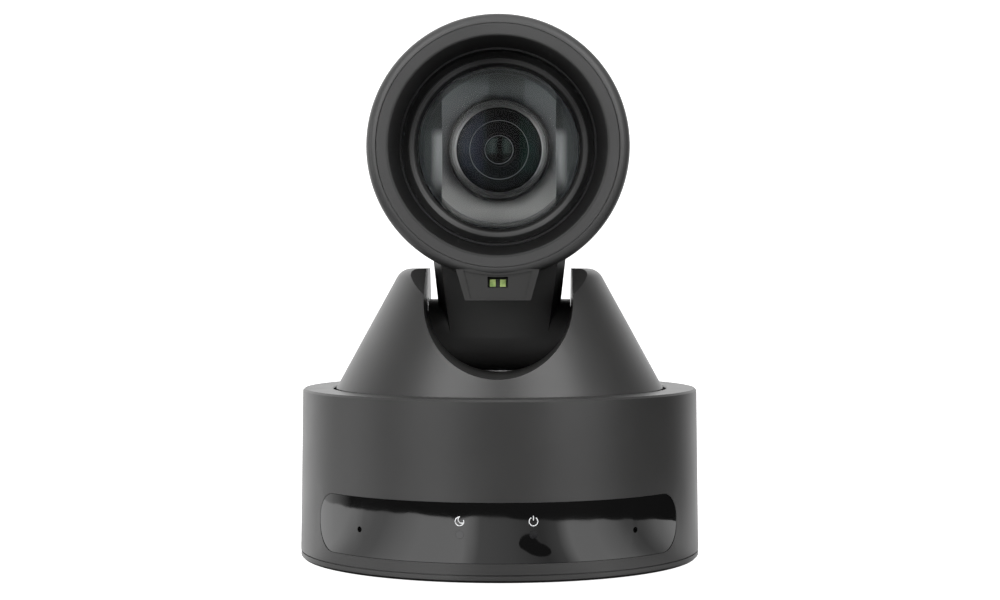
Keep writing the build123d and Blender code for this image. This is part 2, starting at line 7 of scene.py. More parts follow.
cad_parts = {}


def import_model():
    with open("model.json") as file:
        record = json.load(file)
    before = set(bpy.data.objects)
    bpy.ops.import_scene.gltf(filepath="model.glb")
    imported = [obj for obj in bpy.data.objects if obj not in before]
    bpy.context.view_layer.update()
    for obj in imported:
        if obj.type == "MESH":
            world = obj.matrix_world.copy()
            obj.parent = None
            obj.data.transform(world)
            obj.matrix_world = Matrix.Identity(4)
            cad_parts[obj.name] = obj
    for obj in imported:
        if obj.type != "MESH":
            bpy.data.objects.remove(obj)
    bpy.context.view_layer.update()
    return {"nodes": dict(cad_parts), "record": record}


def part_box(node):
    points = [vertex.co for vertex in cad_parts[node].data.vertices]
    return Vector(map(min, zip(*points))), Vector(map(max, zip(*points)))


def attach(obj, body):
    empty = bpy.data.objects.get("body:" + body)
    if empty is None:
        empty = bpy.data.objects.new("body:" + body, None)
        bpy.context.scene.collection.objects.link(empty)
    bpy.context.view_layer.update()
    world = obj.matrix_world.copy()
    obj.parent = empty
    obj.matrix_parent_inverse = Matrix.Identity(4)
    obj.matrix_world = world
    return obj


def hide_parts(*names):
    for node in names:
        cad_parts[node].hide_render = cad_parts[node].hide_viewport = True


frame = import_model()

NODES = frame["nodes"]
MM = 0.001

# --- places read from the frame -------------------------------------------------------------------
RING_LOW, RING_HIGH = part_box("hood_ring")
LENS_AXIS_Z = (RING_LOW.z + RING_HIGH.z) / 2
GLASS_LOW, GLASS_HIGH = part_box("inner_glass")
WINDOW_R = -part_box("front_window")[0].y

# --- the camera: eye point, aim point and lens ------------------------------------------------------
EYE = Vector((0.0116, -0.762, 0.1078))
AIM = Vector((0.0001, 0.0, 0.0926))
FOCAL_MM, SENSOR_MM = 75.57, 36.0


# --- material building ------------------------------------------------------------------------------
# Noise stretched into the fine lines that turning leaves round the lens axis.
TURNED = (0.15, 1.0, 0.15)


class Nodes:
    """A small helper that lays out one material's node tree."""

    def __init__(self, name):
        self.material = bpy.data.materials.new(name)
        self.material.use_nodes = True
        self.tree = self.material.node_tree
        self.shader = self.tree.nodes["Principled BSDF"]
        self.coords = self.tree.nodes.new("ShaderNodeTexCoord").outputs["Object"]

    def set(self, **values):
        for key, value in values.items():
            self.shader.inputs[key.replace("_", " ")].default_value = value
        return self

    def link(self, source, target):
        self.tree.links.new(source, target)

    def noise(self, scale, detail=2.0, rough=0.5, stretch=None):
        node = self.tree.nodes.new("ShaderNodeTexNoise")
        node.inputs["Scale"].default_value = scale
        node.inputs["Detail"].default_value = detail
        node.inputs["Roughness"].default_value = rough
        source = self.coords
        if stretch:
            mapping = self.tree.nodes.new("ShaderNodeMapping")
            mapping.inputs["Scale"].default_value = stretch
            self.link(source, mapping.inputs["Vector"])
            source = mapping.outputs["Vector"]
        self.link(source, node.inputs["Vector"])
        return node.outputs["Fac"]

    def ramp(self, factor, low, high, start=0.3, end=0.7):
        node = self.tree.nodes.new("ShaderNodeValToRGB")
        first, last = node.color_ramp.elements
        first.position, last.position = start, end
        first.color, last.color = low, high
        self.link(factor, node.inputs["Fac"])
        return node.outputs["Color"]

    def colour(self, factor, low, high):
        self.link(self.ramp(factor, low + (1,), high + (1,)), self.shader.inputs["Base Color"])
        return self

    def roughness(self, factor, low, high):
        node = self.tree.nodes.new("ShaderNodeMapRange")
        node.inputs["To Min"].default_value = low
        node.inputs["To Max"].default_value = high
        self.link(factor, node.inputs["Value"])
        self.link(node.outputs["Result"], self.shader.inputs["Roughness"])
        return self

    def bump(self, height, strength, depth):
        node = self.tree.nodes.new("ShaderNodeBump")
        node.inputs["Strength"].default_value = strength
        node.inputs["Distance"].default_value = depth
        self.link(height, node.inputs["Height"])
        self.link(node.outputs["Normal"], self.shader.inputs["Normal"])
        return self

    def math(self, operation, source, factor=None):
        """A math node on one socket, or on a socket and a number or a second socket."""
        node = self.tree.nodes.new("ShaderNodeMath")
        node.operation = operation
        self.link(source, node.inputs[0])
        if isinstance(factor, float):
            node.inputs[1].default_value = factor
        elif factor is not None:
            self.link(factor, node.inputs[1])
        return node.outputs[0]

    def lens_place(self):
        """Set across, height, radius and side: a point's place from the lens axis, in millimetres."""
        mapping = self.tree.nodes.new("ShaderNodeMapping")
        mapping.inputs["Location"].default_value = (0, 0, -LENS_AXIS_Z / MM)
        mapping.inputs["Scale"].default_value = (1 / MM, 0, 1 / MM)
        self.link(self.coords, mapping.inputs["Vector"])
        split = self.tree.nodes.new("ShaderNodeSeparateXYZ")
        self.link(mapping.outputs["Vector"], split.inputs[0])
        self.side, self.height = split.outputs["X"], split.outputs["Z"]
        self.across = self.math("ABSOLUTE", self.side)
        length = self.tree.nodes.new("ShaderNodeVectorMath")
        length.operation = "LENGTH"
        self.link(mapping.outputs["Vector"], length.inputs[0])
        self.radius = length.outputs["Value"]
        return self

    def bands(self, distance, stops):
        """Colour by distance: stops are (millimetres, grey or colour), with straight runs between."""
        low, high = stops[0][0], stops[-1][0]
        scale = self.tree.nodes.new("ShaderNodeMapRange")
        scale.inputs["From Min"].default_value = low
        scale.inputs["From Max"].default_value = high
        self.link(distance, scale.inputs["Value"])
        node = self.tree.nodes.new("ShaderNodeValToRGB")
        elements = node.color_ramp.elements
        while len(elements) < len(stops):
            elements.new(0.5)
        for element, (place, value) in zip(elements, stops):
            element.position = (place - low) / (high - low)
        for element, (place, value) in zip(elements, stops):
            element.color = (tone(value) if isinstance(value, float) else value) + (1,)
        self.link(scale.outputs["Result"], node.inputs["Fac"])
        return node.outputs["Color"]

    def blend(self, kind, first, second, factor=None):
        node = self.tree.nodes.new("ShaderNodeMix")
        node.data_type = "RGBA"
        node.blend_type = kind
        if factor is None:
            node.inputs["Factor"].default_value = 1.0
        else:
            self.link(factor, node.inputs["Factor"])
        sockets = [k for k in node.inputs if k.type == "RGBA"]
        self.link(first, sockets[0])
        self.link(second, sockets[1])
        return [k for k in node.outputs if k.type == "RGBA"][0]

    def base(self, colour):
        self.link(colour, self.shader.inputs["Base Color"])
        return self


def tone(value, warm=0.0):
    return (value * (1 + warm), value, value * (1 - warm))


def textured_plastic(name, value, rough, grain=1500, relief=0.10, warm=0.01):
    """Moulded plastic with a fine spark-eroded grain and faint flow variation."""
    n = Nodes(name)
    n.colour(n.noise(38, 3), tone(value * 0.93, warm), tone(value * 1.07, warm))
    n.roughness(n.noise(60, 4), rough - 0.04, rough + 0.05)
    n.bump(n.noise(grain, 2, 0.6), relief, 0.00008)
    return n.material


def gloss_black(name, value=0.005, rough=0.02):
    """Smoked gloss plastic, not quite flat, so reflections wander along it."""
    n = Nodes(name)
    n.colour(n.noise(30, 2), tone(value), tone(value * 1.3))
    n.roughness(n.noise(90, 5), rough, rough + 0.03)
    n.bump(n.noise(45, 1, 0.4, (1, 1, 1.6)), 0.22, 0.0004)
    n.set(Specular_IOR_Level=1.0, IOR=1.5)
    return n.material


def anodised(name, value, rough=0.35):
    """Black or grey anodised metal with fine turning lines round the lens axis."""
    n = Nodes(name)
    n.colour(n.noise(50, 3), tone(value * 0.9), tone(value * 1.1))
    n.roughness(n.noise(120, 3), rough - 0.05, rough + 0.06)
    n.bump(n.noise(900, 1, 0.5, TURNED), 0.10, 0.00006)
    n.set(Metallic=0.0)
    return n.material


def metal(name, colour, rough=0.3, streak=(0.1, 1, 1)):
    n = Nodes(name)
    dark = tuple(0.85 * c for c in colour)
    n.colour(n.noise(300, 3, 0.5, streak), dark, colour)
    n.roughness(n.noise(500, 3, 0.5, streak), rough - 0.06, rough + 0.08)
    n.bump(n.noise(1200, 2, 0.5, streak), 0.08, 0.00005)
    n.set(Metallic=1.0)
    return n.material


def rubber(name, value=0.02):
    n = Nodes(name)
    n.colour(n.noise(80, 3), tone(value * 0.85), tone(value * 1.2))
    n.roughness(n.noise(200, 3), 0.75, 0.9)
    n.bump(n.noise(1800, 3), 0.2, 0.0001)
    return n.material


def circuit_board(name):
    n = Nodes(name)
    n.colour(n.noise(700, 1, 0.4, (1, 0.2, 1)), (0.008, 0.06, 0.025), (0.02, 0.13, 0.05))
    n.roughness(n.noise(300, 2), 0.3, 0.45)
    n.bump(n.noise(900, 1), 0.1, 0.00005)
    return n.material


def coated_glass(name):
    """Clear glass that hardly bends light, with the faintest green; its coat gives a soft reflection."""
    n = Nodes(name)
    n.base(n.ramp(n.noise(20, 1), (0.98, 0.99, 0.99, 1), (0.985, 1.0, 0.995, 1)))
    n.set(Roughness=0.0, Transmission_Weight=1.0, IOR=1.02)
    n.set(Coat_Weight=1.0, Coat_IOR=1.2, Coat_Roughness=0.26)
    return n.material


def speckle(n, scale, spread):
    """A faint mottle that a colour is multiplied by."""
    return n.ramp(n.noise(scale, 3), tone(1 - spread) + (1,), tone(1 + spread) + (1,))


def hood_plastic(name):
    """The ring's charcoal face in painted light: lighter than its outer band, with a painted highlight
    line by the groove, and painted shade fading to flat black just inside its lip, lighter at the top and
    darker at the bottom.
    """
    n = Nodes(name).lens_place()
    grain = speckle(n, 38, 0.07)
    # Painted light: the flat face is painted lighter than the outer band, a painted highlight line runs at
    # 41.5-41.85 mm by the groove, and painted shade fades to black inside the lip.
    face = n.bands(n.radius, [
        (34.0, 0.003), (35.2, 0.004), (36.7, 0.010), (37.5, 0.022), (38.6, 0.062), (41.35, 0.064),
        (41.5, 0.10), (41.85, 0.10), (42.0, 0.066), (43.6, 0.060), (44.8, 0.034), (50.0, 0.028)])
    # Painted light inside the lip: lighter towards the top, darker towards the bottom.
    painted_light_by_height = n.bands(n.height, [(-38.0, 0.35), (0.0, 1.0), (38.0, 2.2)])
    inside = n.bands(n.radius, [(37.4, 1.0), (38.4, 0.0), (39.0, 0.0)])
    plain = n.bands(n.height, [(-38.0, 1.0), (38.0, 1.0)])
    n.base(n.blend("MULTIPLY", n.blend("MULTIPLY", face, grain), n.blend("MIX", plain, painted_light_by_height, inside)))
    shine = n.bands(n.radius, [(34.0, 0.60), (37.6, 0.60), (38.6, 0.40), (50.0, 0.40)])
    n.link(shine, n.shader.inputs["Roughness"])
    n.bump(n.noise(1500, 2, 0.6), 0.10, 0.00008)
    n.set(Specular_IOR_Level=0.25)
    return n.material


def barrel_steps(name):
    """The lens's stepped front: black steps with one painted highlight band round the glass."""
    n = Nodes(name).lens_place()
    # Painted highlight: the band at 29.8-30.8 mm stands in for the satin sheen on the step round the
    # glass.
    steps = n.bands(n.radius, [
        (28.4, 0.004), (29.2, 0.008), (29.8, 0.050), (30.8, 0.040), (31.3, 0.006), (31.9, 0.003),
        (33.0, 0.004), (33.6, 0.008), (34.2, 0.003)])
    n.base(n.blend("MULTIPLY", steps, speckle(n, 60, 0.1)))
    n.roughness(n.noise(120, 3), 0.28, 0.38)
    n.bump(n.noise(900, 1, 0.5, TURNED), 0.10, 0.00006)
    n.set(Specular_IOR_Level=0.3)
    return n.material


def baffle_paint(name):
    """The inner baffle: satin grey between its flats in painted light, brightest low down and darker
    higher up, with painted shade round the cell and a painted shadow band above it; dark beyond the flats,
    with a painted reflection brightest at each flat's edge.
    """
    n = Nodes(name).lens_place()
    # Painted light: the grey between the flats is brightest low down and darker higher up, as light from
    # above falls on the funnel.
    middle = n.bands(n.height, [
        (-28.6, 0.025), (-26.5, 0.055), (-24.0, (0.125, 0.124, 0.122)), (-21.5, (0.145, 0.144, 0.141)),
        (-16.0, (0.12, 0.119, 0.117)), (-8.0, (0.065, 0.065, 0.067)), (8.0, (0.05, 0.053, 0.056)),
        (17.0, (0.068, 0.073, 0.076)), (22.0, (0.062, 0.068, 0.070)), (25.0, (0.024, 0.027, 0.028)),
        (28.0, (0.010, 0.012, 0.013))])
    # Painted shade close round the cell and towards the outer rim.
    halo = n.bands(n.radius, [
        (17.5, 0.35), (18.4, 0.80), (20.2, 0.95), (22.0, 1.0), (26.4, 1.0), (27.2, 0.45), (29.0, 0.3)])
    # Painted shadow: a vertical darker band above the cell.
    shadow = n.bands(n.side, [
        (-30.0, 1.0), (-4.2, 1.0), (-3.2, 0.58), (8.4, 0.58), (9.6, 1.0), (30.0, 1.0)])
    above = n.bands(n.height, [(-2.0, 0.0), (4.0, 1.0)])
    plain = n.bands(n.across, [(0.0, 1.0), (30.0, 1.0)])
    centre = n.blend("MULTIPLY", n.blend("MULTIPLY", middle, halo), n.blend("MIX", plain, shadow, above))
    # Painted reflection: a pale vertical streak beside each flat's edge, fading outward.
    painted_reflection = n.bands(n.across, [
        (20.2, (0.40, 0.41, 0.42)), (22.0, (0.26, 0.265, 0.27)), (24.4, (0.022, 0.027, 0.028)),
        (28.0, (0.012, 0.016, 0.017))])
    dim = n.bands(n.across, [
        (20.2, (0.016, 0.021, 0.022)), (24.4, (0.016, 0.021, 0.022)), (28.0, (0.012, 0.016, 0.017))])
    span = n.bands(n.height, [(-16.0, 0.0), (-10.5, 1.0), (4.5, 1.0), (8.0, 0.0)])
    edge = n.bands(n.across, [(20.1, 0.0), (20.2, 1.0)])
    n.base(n.blend("MIX", centre, n.blend("MIX", dim, painted_reflection, span), edge))
    n.roughness(n.noise(120, 3), 0.30, 0.40)
    n.bump(n.noise(900, 1, 0.5, TURNED), 0.06, 0.00005)
    return n.material


def cell_ring(name):
    """The inner cell's bezel: a satin grey band with fine painted highlight lines, in painted light
    brightest to left and right.
    """
    n = Nodes(name).lens_place()
    band = n.bands(n.radius, [
        (14.4, 0.02), (14.8, 0.05), (14.9, 0.33), (15.5, 0.33), (15.8, 0.13), (16.4, 0.11), (16.8, 0.02),
        (19.0, 0.008)])
    # Painted light: the band is brightest at mid height, to left and right, and darker at the top and
    # bottom.
    painted_side_light = n.bands(n.height, [
        (-17.0, 0.10), (-11.0, 0.18), (-5.0, 0.9), (0.0, 1.0), (7.0, 1.0), (11.0, 0.5), (14.0, 0.25),
        (17.0, 0.2)])
    # Painted highlight: the fine bright lines at 14.9-15.1 mm and 17.2 mm.
    line = n.bands(n.radius, [
        (14.4, 0.0), (14.75, 0.0), (14.9, 0.11), (15.1, 0.11), (15.25, 0.0), (17.0, 0.0), (17.2, 0.05),
        (17.4, 0.0), (19.0, 0.0)])
    n.base(n.blend("ADD", n.blend("MULTIPLY", band, painted_side_light), line))
    n.roughness(n.noise(150, 2), 0.36, 0.42)
    n.bump(n.noise(900, 1, 0.5, TURNED), 0.06, 0.00005)
    n.set(Specular_IOR_Level=0.15)
    return n.material


def cell_glass(name):
    """The inner glass: nearly black, with a painted reflection, violet to one side and green to the other,
    and painted shade darker towards the bottom.
    """
    n = Nodes(name).lens_place()
    # Painted reflection: vertical violet and green strips where the side lights show in the glass.
    painted_reflection_tint = n.bands(n.side, [
        (-15.0, (0.008, 0.012, 0.016)), (-12.0, (0.012, 0.015, 0.023)), (-6.0, (0.011, 0.012, 0.019)),
        (-5.0, (0.008, 0.012, 0.013)), (-4.0, (0.0025, 0.0025, 0.003)), (7.0, (0.002, 0.002, 0.0025)),
        (7.6, (0.003, 0.009, 0.007)), (12.0, (0.003, 0.009, 0.008)), (15.0, (0.004, 0.007, 0.008))])
    # Painted shade: darker towards the bottom and a little at the top.
    painted_shade_by_height = n.bands(n.height, [
        (-15.0, 0.25), (-8.0, 0.3), (-6.0, 0.75), (0.0, 0.9), (8.0, 1.0), (13.0, 0.7), (15.0, 0.5)])
    n.base(n.blend("MULTIPLY", painted_reflection_tint, painted_shade_by_height))
    n.roughness(n.noise(60, 2), 0.05, 0.09)
    n.set(Specular_Tint=(0.6, 0.85, 0.95, 1), Specular_IOR_Level=0.025)
    return n.material


def pupil_glass(name):
    """The innermost glass: a painted reflection of two teal glints with a dark bar between them, and
    painted shade dark below.
    """
    n = Nodes(name).lens_place()
    # Painted reflection: two teal glints with a dark bar between them.
    painted_glints = n.bands(n.side, [
        (-5.2, (0.004, 0.005, 0.005)), (-4.0, (0.010, 0.015, 0.015)), (-2.2, (0.023, 0.031, 0.030)),
        (-0.8, (0.012, 0.016, 0.016)), (-0.45, 0.002), (0.8, 0.002), (1.15, (0.011, 0.016, 0.015)),
        (2.4, (0.018, 0.026, 0.024)), (4.0, (0.008, 0.011, 0.010)), (5.2, 0.004)])
    # Painted shade: dark below, dimmer at the top.
    painted_shade_by_height = n.bands(n.height, [
        (-5.2, 0.04), (-1.9, 0.07), (-0.9, 0.9), (1.5, 1.0), (3.6, 0.8), (4.5, 0.3), (5.2, 0.2)])
    n.base(n.blend("MULTIPLY", painted_glints, painted_shade_by_height))
    n.roughness(n.noise(60, 2), 0.05, 0.09)
    n.set(Specular_IOR_Level=0.025)
    return n.material


def light_pipe(name):
    """An unlit, smoked light pipe, as glossy as the window round it."""
    n = Nodes(name)
    n.colour(n.noise(500, 2), (0.008, 0.008, 0.009), (0.016, 0.016, 0.017))
    n.roughness(n.noise(300, 2), 0.04, 0.10)
    n.set(Specular_IOR_Level=1.0, IOR=1.5)
    return n.material


def filter_window(name):
    """Yellow-green coated filter over the remote sensor, with a faint painted glow."""
    n = Nodes(name)
    n.colour(n.noise(420, 2), (0.13, 0.22, 0.07), (0.42, 0.52, 0.20))
    n.roughness(n.noise(300, 2), 0.12, 0.25)
    # Painted glow: the filter emits faint light, though it is no lamp.
    n.set(Emission_Color=(0.45, 0.60, 0.20, 1), Emission_Strength=0.14)
    return n.material


def printed_ink(name):
    n = Nodes(name)
    n.colour(n.noise(900, 2), (0.70, 0.71, 0.72), (0.82, 0.83, 0.84))
    n.roughness(n.noise(400, 2), 0.45, 0.6)
    # Painted glow: the ink emits faint light, though print is no lamp.
    n.set(Emission_Color=(1, 1, 1, 1), Emission_Strength=0.10)
    return n.material


MATERIALS = {
    "charcoal": textured_plastic("charcoal_plastic", 0.031, 0.38),
    "foot_plate": textured_plastic("charcoal_paint", 0.032, 0.40, 1100),
    "black_plastic": textured_plastic("black_plastic", 0.023, 0.40, 1900, 0.08),
    "black_gloss": gloss_black("window_black"),
    "lens_black": anodised("anodised_black", 0.012, 0.34),
    "retainer": metal("retainer_metal", (0.42, 0.43, 0.44), 0.3),
    "coated_glass": coated_glass("front_glass_coated"),
    "baffle_grey": anodised("baffle_satin", 0.20, 0.32),
    "steel": metal("brushed_steel", (0.56, 0.56, 0.57), 0.3),
    "aluminium": metal("cast_aluminium", (0.62, 0.63, 0.64), 0.42, None),
    "zinc_plate": metal("zinc_plate", (0.5, 0.5, 0.48), 0.35, None),
    "bronze": metal("bronze", (0.55, 0.36, 0.16), 0.32),
    "rubber": rubber("black_rubber"),
    "circuit_board": circuit_board("solder_mask"),
    "motor_black": anodised("motor_can", 0.03, 0.4),
    "light_guide": light_pipe("light_pipe"),
    "sensor_window": filter_window("sensor_filter"),
    "lens_group": anodised("lens_cell_black", 0.015, 0.4),
}
INK = printed_ink("printed_ink")
OWN_FINISH = {
    "hood_ring": hood_plastic("hood_charcoal"),
    "lens_barrel": barrel_steps("barrel_steps"),
    "lens_baffle": baffle_paint("baffle_two_flats"),
    "inner_cell": cell_ring("cell_bezel"),
    "retaining_ring": metal("retaining_dark", (0.06, 0.06, 0.062), 0.4),
    "sensor_cover": textured_plastic("cover_charcoal", 0.044, 0.42),
    "sensor_board": textured_plastic("sensor_board_black", 0.02, 0.5, 900),
}


def dress_cad_nodes():
    for row in frame["record"]["subparts"]:
        obj = NODES[row["node"]]
        obj.data.materials.clear()
        obj.data.materials.append(OWN_FINISH.get(row["node"], MATERIALS[row["material_slot"]]))


# --- pieces added around the CAD --------------------------------------------------------------------
def new_piece(name, mesh, material, body):
    obj = bpy.data.objects.new(name, mesh)
    bpy.context.scene.collection.objects.link(obj)
    obj.data.materials.append(material)
    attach(obj, body)
    return obj


def mesh_from(bm, name):
    mesh = bpy.data.meshes.new(name)
    bm.to_mesh(mesh)
    bm.free()
    return mesh


def lathe(name, outline, material, body, steps=128, centre=None):
    """Turn a closed outline of (radius, y) points about the lens axis or another (x, z), in metres."""
    centre_x, centre_z = centre or (0.0, LENS_AXIS_Z)
    bm = bmesh.new()
    rings = []
    for index in range(steps):
        angle = 2 * math.pi * index / steps
        rings.append([bm.verts.new((centre_x + r * math.sin(angle), y, centre_z + r * math.cos(angle)))
                      for r, y in outline])
    count = len(outline)
    for index in range(steps):
        here, there = rings[index], rings[(index + 1) % steps]
        for k in range(count):
            bm.faces.new((here[k], there[k], there[(k + 1) % count], here[(k + 1) % count]))
    bmesh.ops.remove_doubles(bm, verts=bm.verts, dist=1e-7)
    bmesh.ops.recalc_face_normals(bm, faces=bm.faces)
    for face in bm.faces:
        face.smooth = True
    return new_piece(name, mesh_from(bm, name), material, body)


def dome_outline(radius, y_edge, bulge, thickness, points=14):
    """A domed front surface that bulges towards -Y, with a flat back."""
    front = []
    for index in range(points + 1):
        r = radius * index / points
        front.append((max(r, 1e-6), y_edge - bulge * (1 - (r / radius) ** 2)))
    return front + [(radius, y_edge + thickness), (1e-6, y_edge + thickness)]


def hoop_outline(radius, y, width, height):
    """A small rounded hoop section."""
    return [(radius + width / 2 * math.cos(a), y + height / 2 * math.sin(a))
            for a in (2 * math.pi * k / 10 for k in range(10))]


# The inner cell's domed glasses: the small one's radius, each one's bulge and its edge's thickness.
PUPIL_R, LENS_BULGE, PUPIL_BULGE = 0.0048, 0.0022, 0.0012
LENS_EDGE, PUPIL_EDGE = 0.0008, 0.0004
HOOP_DEPTH = 0.0003


def lens_stack():
    """The inner cell's glass and its thin bright hoops, and two hoops painted as highlights on the front
    glass's edges.
    """
    radius = GLASS_HIGH.x - 0.0001
    front_y = GLASS_LOW.y
    dome = dome_outline(radius, front_y + 0.0026, LENS_BULGE, LENS_EDGE)
    disc = lathe("inner_lens", dome, cell_glass("inner_coated_black"), "head")
    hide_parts("inner_glass")
    dome = dome_outline(PUPIL_R, front_y + 0.0004, PUPIL_BULGE, PUPIL_EDGE)
    lathe("pupil_lens", dome, pupil_glass("pupil_coated_black"), "head")
    line = metal("edge_line", (0.16, 0.17, 0.175), 0.35)
    # Painted highlights: two grey hoops stand for the light caught on the front glass's edges.
    glass_edge_highlight_paint = metal("glass_edge_highlight", (0.08, 0.085, 0.09), 0.4)
    faint = metal("faint_line", (0.035, 0.030, 0.032), 0.5)
    for name, r, y, width, paint in (
            ("inner_hoop", 0.0104, front_y + 0.0013, 0.00024, line),
            ("pupil_hoop", 0.0050, front_y + 0.0004, 0.00024, line),
            ("pupil_halo", 0.0060, front_y + 0.0008, 0.00022, faint),
            ("glass_edge_highlight_outer", 0.0279, -0.0222, 0.00025, glass_edge_highlight_paint),
            ("glass_edge_highlight_inner", 0.0264, -0.0215, 0.00022, glass_edge_highlight_paint)):
        lathe(name, hoop_outline(r, y, width, HOOP_DEPTH), paint, "head")


def bars(name, boxes, material, body, bevel=0.08):
    """Small bevelled bars in one mesh, in millimetres.

    Each is (x0, x1, y0, y1, z0, z1, drop), and its y0 end hangs lower by drop.
    """
    bm = bmesh.new()
    for x0, x1, y0, y1, z0, z1, drop in boxes:
        middle = Vector((x0 + x1, y0 + y1, z0 + z1)) / 2
        size = Matrix.Diagonal((x1 - x0, y1 - y0, z1 - z0, 1))
        made = bmesh.ops.create_cube(bm, size=1, matrix=Matrix.Translation(middle) @ size)
        for vert in made["verts"]:
            if vert.co.y < middle.y:
                vert.co.z -= drop
    bmesh.ops.bevel(bm, geom=bm.edges[:], offset=bevel, segments=2, affect="EDGES")
    bmesh.ops.scale(bm, vec=(MM, MM, MM), verts=bm.verts)
    return new_piece(name, mesh_from(bm, name), material, body)


# The rear cover's screw seats: their offset from the lens axis each way, and their floor's depth.
SEAT_OFFSET, SEAT_DEPTH, SCREW_HEIGHT = 0.022, 0.0078, 0.0014


def middle_of(node):
    """The middle of a CAD node's box, seen from the back, and its rearmost y, in millimetres."""
    low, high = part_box(node)
    return (low.x + high.x) / 2 / MM, (low.z + high.z) / 2 / MM, high.y / MM


def socket_contacts():
    """What shows inside the rear sockets: sprung contacts, tongues and pins."""
    gold = metal("contact_gold", (0.75, 0.55, 0.22), 0.25)
    tongue = textured_plastic("socket_tongue", 0.05, 0.45, 2200, 0.06)
    x, z, y = middle_of("network_socket")
    bars("network_contacts", [
        (x + 1.02 * k - 0.2, x + 1.02 * k + 0.2, y - 8.0, y - 1.4, z + 3.9, z + 4.3, 1.9)
        for k in (-3.5, -2.5, -1.5, -0.5, 0.5, 1.5, 2.5, 3.5)], gold, "base")
    x, z, y = middle_of("hdmi_socket")
    bars("hdmi_tongue", [(x - 5.2, x + 5.2, y - 9.3, y - 1.0, z - 0.5, z + 0.5, 0)],
         tongue, "base")
    bars("hdmi_contacts", [
        (x + 0.98 * k - 0.22, x + 0.98 * k + 0.22, y - 8.0, y - 1.5, z - 0.66, z - 0.44, 0)
        for k in range(-5, 6)], gold, "base", 0.03)
    x, z, y = middle_of("usb_socket")
    bars("usb_tongue", [(x - 2.7, x + 2.7, y - 9.3, y - 1.2, z - 0.6, z + 1.5, 0)],
         tongue, "base")
    bars("usb_contacts", [
        (x + k - 0.4, x + k + 0.4, y - 8.0, y - 2.0, z + side - 0.12, z + side + 0.12, 0)
        for k in (-1.3, 1.3) for side in (-0.6, 1.5)], gold, "base", 0.03)
    low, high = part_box("serial_sockets")
    z, y = (low.z + high.z) / 2 / MM, high.y / MM
    radius = (high.z - low.z) / 2 / MM
    for name, x in (("serial_in", low.x / MM + radius), ("serial_out", high.x / MM - radius)):
        angles = [math.radians(20 + 44 * k) for k in range(8)]
        pins = [(2.3 * math.cos(a), 2.3 * math.sin(a)) for a in angles]
        pins = [(px, pz) for px, pz in pins if abs(px) > 0.6 or pz > 0]
        bars(name + "_pins", [
            (x + px - 0.3, x + px + 0.3, y - 7.3, y - 2.2, z + pz - 0.3, z + pz + 0.3, 0)
            for px, pz in pins], gold, "base", 0.1)
        bars(name + "_key", [(x - 1.0, x + 1.0, y - 7.3, y - 2.0, z - 0.9, z + 0.2, 0)],
             tongue, "base")


def rear_screws():
    """The four screws sunk in the rear cover's seats."""
    steel = metal("screw_black_zinc", (0.16, 0.16, 0.165), 0.3, None)
    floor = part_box("rear_cover")[1].y - SEAT_DEPTH
    top = floor + SCREW_HEIGHT
    outline = [(1e-6, floor), (0.0023, floor), (0.0023, top - 0.0004), (0.0019, top),
               (0.0011, top), (0.0010, floor + 0.0005), (1e-6, floor + 0.0005)]
    for side, x in (("left", SEAT_OFFSET), ("right", -SEAT_OFFSET)):
        for level, z in (("low", LENS_AXIS_Z - SEAT_OFFSET), ("high", LENS_AXIS_Z + SEAT_OFFSET)):
            lathe(f"rear_screw_{level}_{side}", outline, steel, "head", 48, (x, z))


def rear_gasket():
    """The black line where the rear cover meets the barrel shell."""
    low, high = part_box("rear_cover")
    radius = (high.z - low.z) / 2
    lathe("rear_gasket", hoop_outline(radius - 0.00005, low.y, 0.0004, 0.0007),
          rubber("gasket_rubber", 0.008), "head")


# Degrees from the window's middle to each light, and the size and place of the pictogram over it.
LIGHT_ANGLE = 9.8
ICON_Z, ICON_R, ICON_LINE = 20.9 * MM, 1.45 * MM, 0.32 * MM
INK_FLOOR, INK_TOP = 0.01 * MM, 0.05 * MM


def on_window(x, z, lift):
    """A point on the front window's curved face, at a distance along it from the middle."""
    angle = x / WINDOW_R
    r = WINDOW_R + lift
    return Vector((r * math.sin(angle), -r * math.cos(angle), z))


def icon_strokes(name, strokes, centre_x, centre_z, width):
    """Thin raised printing on the window; each stroke is a list of (x, z) points."""
    bm = bmesh.new()
    for stroke in strokes:
        for (x0, z0), (x1, z1) in zip(stroke, stroke[1:]):
            run = Vector((x1 - x0, z1 - z0))
            if run.length < 1e-9:
                continue
            side = Vector((-run.y, run.x)).normalized() * width / 2
            tip = run.normalized() * width * 0.3
            corners = [
                (x0 - tip.x + side.x, z0 - tip.y + side.y), (x1 + tip.x + side.x, z1 + tip.y + side.y),
                (x1 + tip.x - side.x, z1 + tip.y - side.y), (x0 - tip.x - side.x, z0 - tip.y - side.y)]
            corners = [(centre_x + x, centre_z + z) for x, z in corners]
            low = [bm.verts.new(on_window(x, z, INK_FLOOR)) for x, z in corners]
            high = [bm.verts.new(on_window(x, z, INK_TOP)) for x, z in corners]
            bm.faces.new(high)
            bm.faces.new(low[::-1])
            for k in range(4):
                bm.faces.new((low[k], low[(k + 1) % 4], high[(k + 1) % 4], high[k]))
    bmesh.ops.recalc_face_normals(bm, faces=bm.faces)
    return new_piece(name, mesh_from(bm, name), INK, "base")


def arc(radius, start, end, points=16):
    """Points round a circle, by angle in degrees clockwise from the top."""
    angles = [math.radians(start + (end - start) * k / points) for k in range(points + 1)]
    return [(radius * math.sin(a), radius * math.cos(a)) for a in angles]


